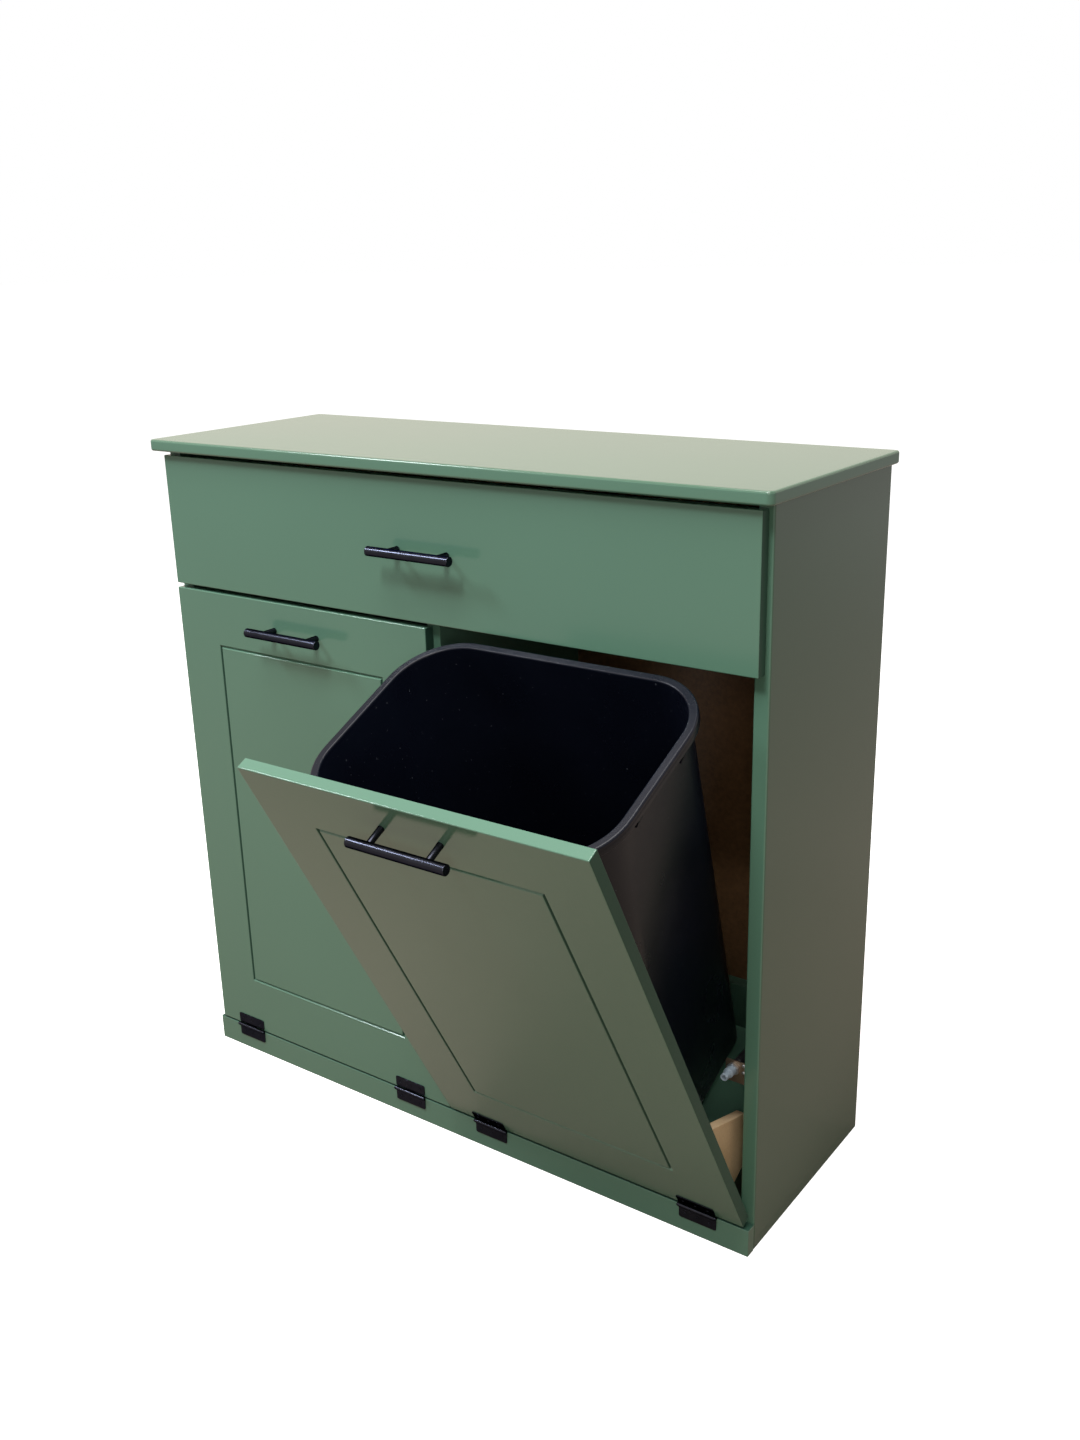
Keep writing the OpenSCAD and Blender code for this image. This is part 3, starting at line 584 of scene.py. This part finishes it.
def binShell():
    # a profile carried round the bin: from the middle of the base, up the outside, under the flange,
    # round the skirt that hangs from it, over the flange and down the inside to the middle of the floor;
    # each point is a height and how far it stands out from the tapered wall
    b = wasteBin
    h, w, out = b["height"], b["wall"], b["rimOut"]
    foot, bowl, arris, lip = b["footRadius"], b["bowlRadius"], b["outerArris"], b["innerArris"]
    skirtIn, edge, low = out - w, 0.0004, 0.03  # the straight wall starts at low
    quarter = np.linspace(0, math.pi / 2, 6)
    path = [(0.003, -0.9), (0.003, -0.020), (0.0, -0.016), (0.0, -foot)]
    path += [(foot - foot * math.cos(t), -foot + foot * math.sin(t)) for t in quarter[1:]]
    path += [(z, 0.0) for z in np.linspace(low, h - b["rimHigh"], 14)]
    path += [(h - 0.0055, 0.0), (h - 0.0032, 0.0012), (h - 0.0026, 0.003), (h - 0.0028, skirtIn - 0.001),
             (h - 0.005, skirtIn), (h - b["rimHigh"] + 0.001, skirtIn)]
    path += [(h - b["rimHigh"] + 0.0006 - 0.0006 * math.sin(t), skirtIn + w / 2 - w / 2 * math.cos(t))
             for t in np.linspace(0, math.pi, 7)]
    path += [(h - 0.0062, out), (h - 0.0056, out - edge)]
    path += [(h - arris + arris * math.sin(t), out - edge - arris + arris * math.cos(t)) for t in quarter]
    path += [(h - 0.00015, out * 0.4)]
    path += [(h - lip + lip * math.cos(t), -w + lip - lip * math.sin(t)) for t in quarter]
    path += [(z, -w) for z in np.linspace(h - b["rimHigh"], low, 14)]
    path += [(w + bowl - bowl * math.sin(t), -w - bowl + bowl * math.cos(t)) for t in quarter]
    path += [(w, -0.04), (w, -0.9)]
    path = np.array(path)
    z, off = path[:, 0], path[:, 1]
    share = np.clip(z / (h - 0.001), 0, 1)
    centre, speck = off < -0.5, 1e-7  # the profile's two ends close to a speck in the middle
    wide = b["baseWidth"] * (1 - share) + (b["rimWidth"] - 2 * out) * share
    deep = b["baseDepth"] * (1 - share) + (b["rimDepth"] - 2 * out) * share
    halfW, halfD = np.where(centre, speck, wide / 2 + off), np.where(centre, speck, deep / 2 + off)
    radius = np.maximum(b["baseRadius"] * (1 - share) + b["neckRadius"] * share + off, 0.002)
    radius = np.minimum(np.where(centre, speck, radius), np.minimum(halfW, halfD))
    loop = roundedLoop(halfW, halfD, radius)
    verts = np.concatenate([loop, np.broadcast_to(z[:, None, None], (*loop.shape[:2], 1))], -1)
    return joined([(verts.reshape(-1, 3), gridFaces(*loop.shape[:2]))] + binGussets())


def binGussets():
    # wedges under the skirt that narrow downwards, three on each long side and two on each short one
    b = wasteBin
    h, out, under = b["height"], b["rimOut"], b["height"] - b["rimHigh"]
    w, d = b["rimWidth"], b["rimDepth"]
    spots = [(0, s * d / 2, x) for s in (-1, 1) for x in (-w / 4, 0, w / 4)]
    spots += [(1, s * w / 2, y) for s in (-1, 1) for y in (-d / 6, d / 6)]
    webs = []
    half = np.array([b["gussetFoot"]] * 2 + [b["gussetTop"]] * 3) / 2
    foot = under - b["gussetHigh"]
    for kind, edge, along in spots:
        far = abs(edge)
        outline = np.array([(far - out - 0.003, foot), (far - out - 0.0012, foot),
                            (far - 0.0015, under - 0.0004), (far - 0.0015, h - 0.006),
                            (far - out - 0.002, h - 0.004)])
        across = np.concatenate([along - half, along + half])
        reach = math.copysign(1, edge) * np.tile(outline[:, 0], 2)
        verts = np.column_stack([across, reach] if kind == 0 else [reach, across])
        verts = np.column_stack([verts, np.tile(outline[:, 1], 2)])
        n = len(outline)
        webs.append((verts, gridFaces(2, n) + [np.arange(n), np.arange(n) + n]))
    return webs


def standing(verts):
    # upright on its tray, the rim's front against the closed door
    b = wasteBin
    return verts + [b["midX"], panels["backY"] + b["gap"] + b["rimDepth"] / 2, b["trayTop"] + b["gap"]]


def leaning(verts):
    # turned about X by the lean, the front wall along the door's back, the base's front edge on the tray
    b = wasteBin
    half, sin, cos = b["baseDepth"] / 2, math.sin(math.radians(b["lean"])), math.cos(math.radians(b["lean"]))
    y = verts[:, 1] * cos + verts[:, 2] * sin + panels["backY"] + b["gap"] + half * cos
    z = -verts[:, 1] * sin + verts[:, 2] * cos + b["trayTop"] + b["gap"] + half * sin
    return np.column_stack([verts[:, 0] + b["midX"], y, z])


binVerts, binFaces = binShell()
makePiece("leftBin", mirrored(standing(binVerts)), binFaces, binPlastic, "left_front", "black_plastic",
          ["left_bin"], sharp=45)
makePiece("rightBin", opened(leaning(binVerts)), binFaces, binPlastic, "right_front", "black_plastic",
          ["right_bin"], sharp=45)
print("bins ready")

damper = dict(x=0.410, z=0.2285, travel=0.009, fit=0.00005,
              tipY=-0.1417, length=0.045, radius=0.0045, hole=0.0028, holeDeep=0.012,
              collarY=-0.1407, collarRadius=0.0061, collarBevel=0.0007,
              nutY=-0.1307, nutFlat=0.0071, nutThick=0.004, nutRound=1.03, nutBevel=0.0005,
              noseRadius=0.0058, threadPitch=0.0006, threadDeep=0.00035,
              bodyY=-0.1247, bodyLength=0.055, bodyRadius=0.0065, boreDeep=0.05)
bracket = dict(plateY=-0.1267, low=0.2105, high=0.2385, plateX=0.3995, sideX=0.431, sheet=0.002,
               flange=0.028, edge=0.0003, corner=0.002, bend=0.0006, tuck=0.0002,
               rivetIn=0.008, rivetUp=0.002, rivetSpread=0.0046, rivetRadius=0.0022, rivetHigh=0.001,
               screwRadius=0.0026, screwHigh=0.0007, screwPlace=0.6, screwSpread=0.26)


def plunger(shift):
    # a nylon rod whose tip is hollow, turned from its profile
    r, hole, deep, end = damper["radius"], damper["hole"], damper["holeDeep"], damper["length"]
    profile = [(deep, 0), (deep, hole - 0.0002), (0.0002, hole), (0.0, hole + 0.0002), (0.0, r - 0.0004),
               (0.0004, r), (end - 0.0005, r), (end, r - 0.0005), (end, 0)]
    return lathe(profile, (damper["x"], damper["tipY"] + shift, damper["z"]), (0, 1, 0))


def damperCollar():
    # a nylon sleeve with a chamfered mouth
    bore, r, bevel = damper["radius"] + damper["fit"], damper["collarRadius"], damper["collarBevel"]
    long = damper["nutY"] - damper["collarY"]
    profile = [(0, bore), (0, r - bevel), (bevel, r), (long - 0.0025, r), (long - 0.0022, r - 0.0005),
               (long, r - 0.0005), (long, bore), (0, bore)]
    return lathe(profile, (damper["x"], damper["collarY"], damper["z"]), (0, 1, 0))


def damperBody():
    # the threaded nose through the bracket, then the smooth barrel with a shallow ring
    bore, nose, r = damper["radius"] + damper["fit"], damper["noseRadius"], damper["bodyRadius"]
    start, deep = damper["bodyY"] - damper["nutY"], damper["boreDeep"]
    end = start + damper["bodyLength"]
    crest = np.arange(0.0004, start - 0.0003, damper["threadPitch"])
    thread = np.column_stack([crest, nose - damper["threadDeep"] * (np.arange(len(crest)) % 2)])
    barrel = [(start, nose), (start, r - 0.0006), (start + 0.0006, r), (start + 0.006, r),
              (start + 0.0065, r - 0.0005), (start + 0.008, r - 0.0005), (start + 0.0085, r),
              (end - 0.001, r), (end, r - 0.001), (end, 0)]
    profile = np.concatenate([[(deep, 0), (deep, bore), (0, bore), (0, nose - 0.0004)], thread, barrel])
    return lathe(profile, (damper["x"], damper["nutY"], damper["z"]), (0, 1, 0))


def damperNut():
    # a hexagon, flat over the cosine of the angle from the middle of a side, turned down at both faces
    sides, flat, thick, bevel = 48, damper["nutFlat"], damper["nutThick"], damper["nutBevel"]
    turn = np.linspace(0, 2 * math.pi, sides, endpoint=False)
    hexagon = flat / np.cos((turn + math.pi / 6) % (math.pi / 3) - math.pi / 6)
    turned, bore = np.minimum(hexagon, flat * damper["nutRound"]), np.full(sides, damper["noseRadius"])
    radii = np.stack([bore, turned, hexagon, hexagon, turned, bore, bore])
    deep = np.array([0, 0, bevel, thick - bevel, thick, thick, 0])[:, None] + 0 * radii
    verts = np.stack([damper["x"] + radii * np.cos(turn), damper["nutY"] + deep,
                      damper["z"] + radii * np.sin(turn)], -1)
    return verts.reshape(-1, 3), gridFaces(len(radii), sides)


def damperBracket():
    # a folded sheet: the plate across the damper, and the flange along the side
    b, side = bracket, bracket["sideX"]
    plate = board((b["plateX"], b["plateY"], b["low"]), (side - b["bend"], damper["bodyY"], b["high"]), 1,
                  b["edge"], b["corner"])
    wing = board((side - b["sheet"], b["plateY"] + b["tuck"], b["low"]),
                 (side, b["plateY"] + b["flange"], b["high"]), 0, b["edge"], b["bend"])
    return joined([plate, wing])


def damperRivets():
    # two snap heads on each face of the plate, quarter ellipses turned about their axes
    b, turn = bracket, np.linspace(0, math.pi / 2, 7)
    dome = np.column_stack([b["rivetHigh"] * np.sin(turn), b["rivetRadius"] * np.cos(turn)])
    profile, x, z = np.concatenate([[(0, 0)], dome]), b["sideX"] - b["rivetIn"], damper["z"] + b["rivetUp"]
    return joined([lathe(profile, (x, y, z + s * b["rivetSpread"]), (0, way, 0), 24)
                   for s in (-1, 1) for y, way in ((b["plateY"], -1), (damper["bodyY"], 1))])


def damperScrews():
    # two heads on the flange
    b, high = bracket, bracket["high"] - bracket["low"]
    x, y = b["sideX"] - b["sheet"], damper["bodyY"] + b["flange"] * b["screwPlace"]
    places = [(x, y, b["low"] + high * (0.5 + s * b["screwSpread"])) for s in (-1, 1)]
    return joined([screwHead(b["screwRadius"], b["screwHigh"], place, (-1, 0, 0)) for place in places])


pressedIn, plungerFaces = plunger(0)
makePiece("leftPlunger", mirrored(pressedIn), plungerFaces, paleNylon, "left_plunger", "pale_plastic",
          ["left_damper_plunger"])
makePiece("rightPlunger", *plunger(-damper["travel"]), paleNylon, "right_plunger", "pale_plastic",
          ["right_damper_plunger"])
for name, shape, material, slot, node in (
        ("damperCollars", damperCollar, paleNylon, "pale_plastic", "damper_collars"),
        ("damperBodies", damperBody, damperPlastic, "black_metal", "damper_bodies"),
        ("damperNuts", damperNut, brightZinc, "zinc_steel", "damper_nuts"),
        ("damperBrackets", damperBracket, yellowZinc, "bronze_plate", "damper_brackets"),
        ("damperRivets", damperRivets, brightZinc, "zinc_steel", "damper_rivets"),
        ("damperScrews", damperScrews, brightZinc, "zinc_steel", "damper_screws")):
    makePiece(name, *bothSides(shape()), material, "cabinet", slot, [node])
print("dampers ready")

drawer = dict(edge=0.001, screwRadius=0.0026, screwHigh=0.0015)
for name, node, thin in (("drawerBoxLeft", "drawer_box_left", 0), ("drawerBoxRight", "drawer_box_right", 0),
                         ("drawerBoxFront", "drawer_box_front", 1), ("drawerBoxBack", "drawer_box_back", 1),
                         ("drawerBottom", "drawer_bottom", 2)):
    boardFromNode(name, node, thin, drawer["edge"], bareBoard, "drawer", "raw_board")


def drawerFrontScrews():
    lo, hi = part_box("drawer_front_screws")
    r, high = drawer["screwRadius"], drawer["screwHigh"]
    return joined([screwHead(r, high, (x, hi[1] - high, z), (0, 1, 0))
                   for x in (lo[0] + r, hi[0] - r) for z in (lo[2] + r, hi[2] - r)])


makePiece("drawerFrontScrews", *drawerFrontScrews(), brightZinc, "drawer", "zinc_steel",
          ["drawer_front_screws"])
for node in ("slide_cabinet_members", "slide_middle_members", "slide_drawer_members"):
    paintNode(node, brightZinc)
print("drawer ready")

studio = dict(floorSize=60.0, worldLight=0.20, floorPaper="#F2F0ED", floorBounce="#8F7A66",
              floorMirrored="#AC9C90", farGlow=0.42, glowFrom=0.8, glowTo=5.0, floorGlow=0.90,
              roomMirrored="#FBF0E4")
# each lamp's x, y, z, power in watts, width and colour
lamps = dict(topBox=(0.1, -0.6, 3.7, 128.0, 2.4, "#FFFDFA"),
             frontBox=(0.2, -2.4, 3.8, 72.0, 0.75, "#FFFFFF"),
             sideBox=(1.8, -2.6, 1.4, 16.0, 1.0, "#FFF8F2"),
             leftBox=(-1.95, -1.35, 2.75, 48.0, 0.6, "#F2F8FF"))


def paleFloor():
    # a pale sheet: camera rays see paper white, mirrors see a warmer and darker floor that brightens with
    # distance, and the light that it throws back on the object is that of a brown floor
    size = studio["floorSize"]
    mesh = bpy.data.meshes.new("floor")
    corners = [(-size, -size, 0), (size, -size, 0), (size, size, 0), (-size, size, 0)]
    mesh.from_pydata(corners, [], [(0, 1, 2, 3)])
    floor = bpy.data.objects.new("floor", mesh)
    bpy.context.scene.collection.objects.link(floor)
    material, tree = newMaterial("paleStudioFloor")
    path = addNode(tree, "ShaderNodeLightPath")
    seen = addNode(tree, "ShaderNodeMath", {0: (path, "Is Camera Ray"), 1: (path, "Is Transmission Ray")},
                   operation="MAXIMUM")
    color = addNode(tree, "ShaderNodeMix", {0: (seen, "Value"), 6: toLinear(studio["floorBounce"]),
                                            7: toLinear(studio["floorPaper"])}, data_type="RGBA")
    color = addNode(tree, "ShaderNodeMix", {0: (path, "Is Glossy Ray"), 6: (color, 2),
                                            7: toLinear(studio["floorMirrored"])}, data_type="RGBA")
    matte = addNode(tree, "ShaderNodeBsdfDiffuse", {"Color": (color, 2)})
    spot = addNode(tree, "ShaderNodeTexCoord")
    away = addNode(tree, "ShaderNodeVectorMath", {0: (spot, "Object")}, operation="LENGTH")
    far = addNode(tree, "ShaderNodeMapRange", {"Value": (away, "Value"), "From Min": studio["glowFrom"],
                                               "From Max": studio["glowTo"], "To Max": studio["farGlow"]})
    far = addNode(tree, "ShaderNodeMath", {0: (far, "Result"), 1: (path, "Is Glossy Ray")},
                  operation="MULTIPLY")
    near = addNode(tree, "ShaderNodeMath", {0: (seen, "Value"), 1: studio["floorGlow"]},
                   operation="MULTIPLY")
    strength = addNode(tree, "ShaderNodeMath", {0: (near, "Value"), 1: (far, "Value")}, operation="ADD")
    glow = addNode(tree, "ShaderNodeEmission", {"Color": (1, 1, 1, 1), "Strength": (strength, "Value")})
    both = addNode(tree, "ShaderNodeAddShader", {0: (matte, "BSDF"), 1: (glow, "Emission")})
    addNode(tree, "ShaderNodeOutputMaterial", {"Surface": (both, "Shader")})
    mesh.materials.append(material)


def softWorld():
    # white to the camera, bright with a slight warm tint in mirrors, and weaker as light on the object
    world = bpy.data.worlds.new("softRoom")
    world.use_nodes = True
    tree = world.node_tree
    tree.nodes.clear()
    path = addNode(tree, "ShaderNodeLightPath")
    seen = addNode(tree, "ShaderNodeMath", {0: (path, "Is Camera Ray"), 1: (path, "Is Glossy Ray")},
                   operation="MAXIMUM")
    seen = addNode(tree, "ShaderNodeMath", {0: (seen, "Value"), 1: (path, "Is Transmission Ray")},
                   operation="MAXIMUM")
    strength = addNode(tree, "ShaderNodeMapRange", {"Value": (seen, "Value"), "To Min": studio["worldLight"],
                                                    "To Max": 1.0})
    tint = addNode(tree, "ShaderNodeMix", {0: (path, "Is Glossy Ray"), 6: (1, 1, 1, 1),
                                           7: toLinear(studio["roomMirrored"])}, data_type="RGBA")
    sky = addNode(tree, "ShaderNodeBackground", {"Color": (tint, 2), "Strength": (strength, "Result")})
    addNode(tree, "ShaderNodeOutputWorld", {"Surface": (sky, "Background")})
    bpy.context.scene.world = world


def softBox(name, x, y, z, power, size, tint, aim=(0.0, 0.0, 0.5)):
    # a round lamp that points at the cabinet
    light = bpy.data.lights.new(name, "AREA")
    light.shape, light.size, light.energy, light.color = "DISK", size, power, toLinear(tint)[:3]
    lamp = bpy.data.objects.new(name, light)
    bpy.context.scene.collection.objects.link(lamp)
    lamp.location = (x, y, z)
    away = np.array([x, y, z]) - aim
    lamp.rotation_euler = (math.atan2(math.hypot(away[0], away[1]), away[2]), 0,
                           math.atan2(away[1], away[0]) + math.pi / 2)


paleFloor()
softWorld()
for name, values in lamps.items():
    softBox(name, *values)

# the camera that was fitted to the photograph: metres, degrees, and pixels for the last two
view = dict(place=(1.068956, -1.401482, 1.139735), turn=(71.392, 1.380, 35.492), focal=1403.71,
            imageHeight=1440)
lens = bpy.data.cameras.new("camera")
lens.sensor_fit = "VERTICAL"
lens.sensor_height = 36.0
lens.lens = view["focal"] / view["imageHeight"] * lens.sensor_height
camera = bpy.data.objects.new("camera", lens)
bpy.context.scene.collection.objects.link(camera)
camera.location = view["place"]
camera.rotation_euler = [math.radians(angle) for angle in view["turn"]]
bpy.context.scene.camera = camera
bpy.context.scene.view_settings.view_transform = "Standard"
print("stage ready")
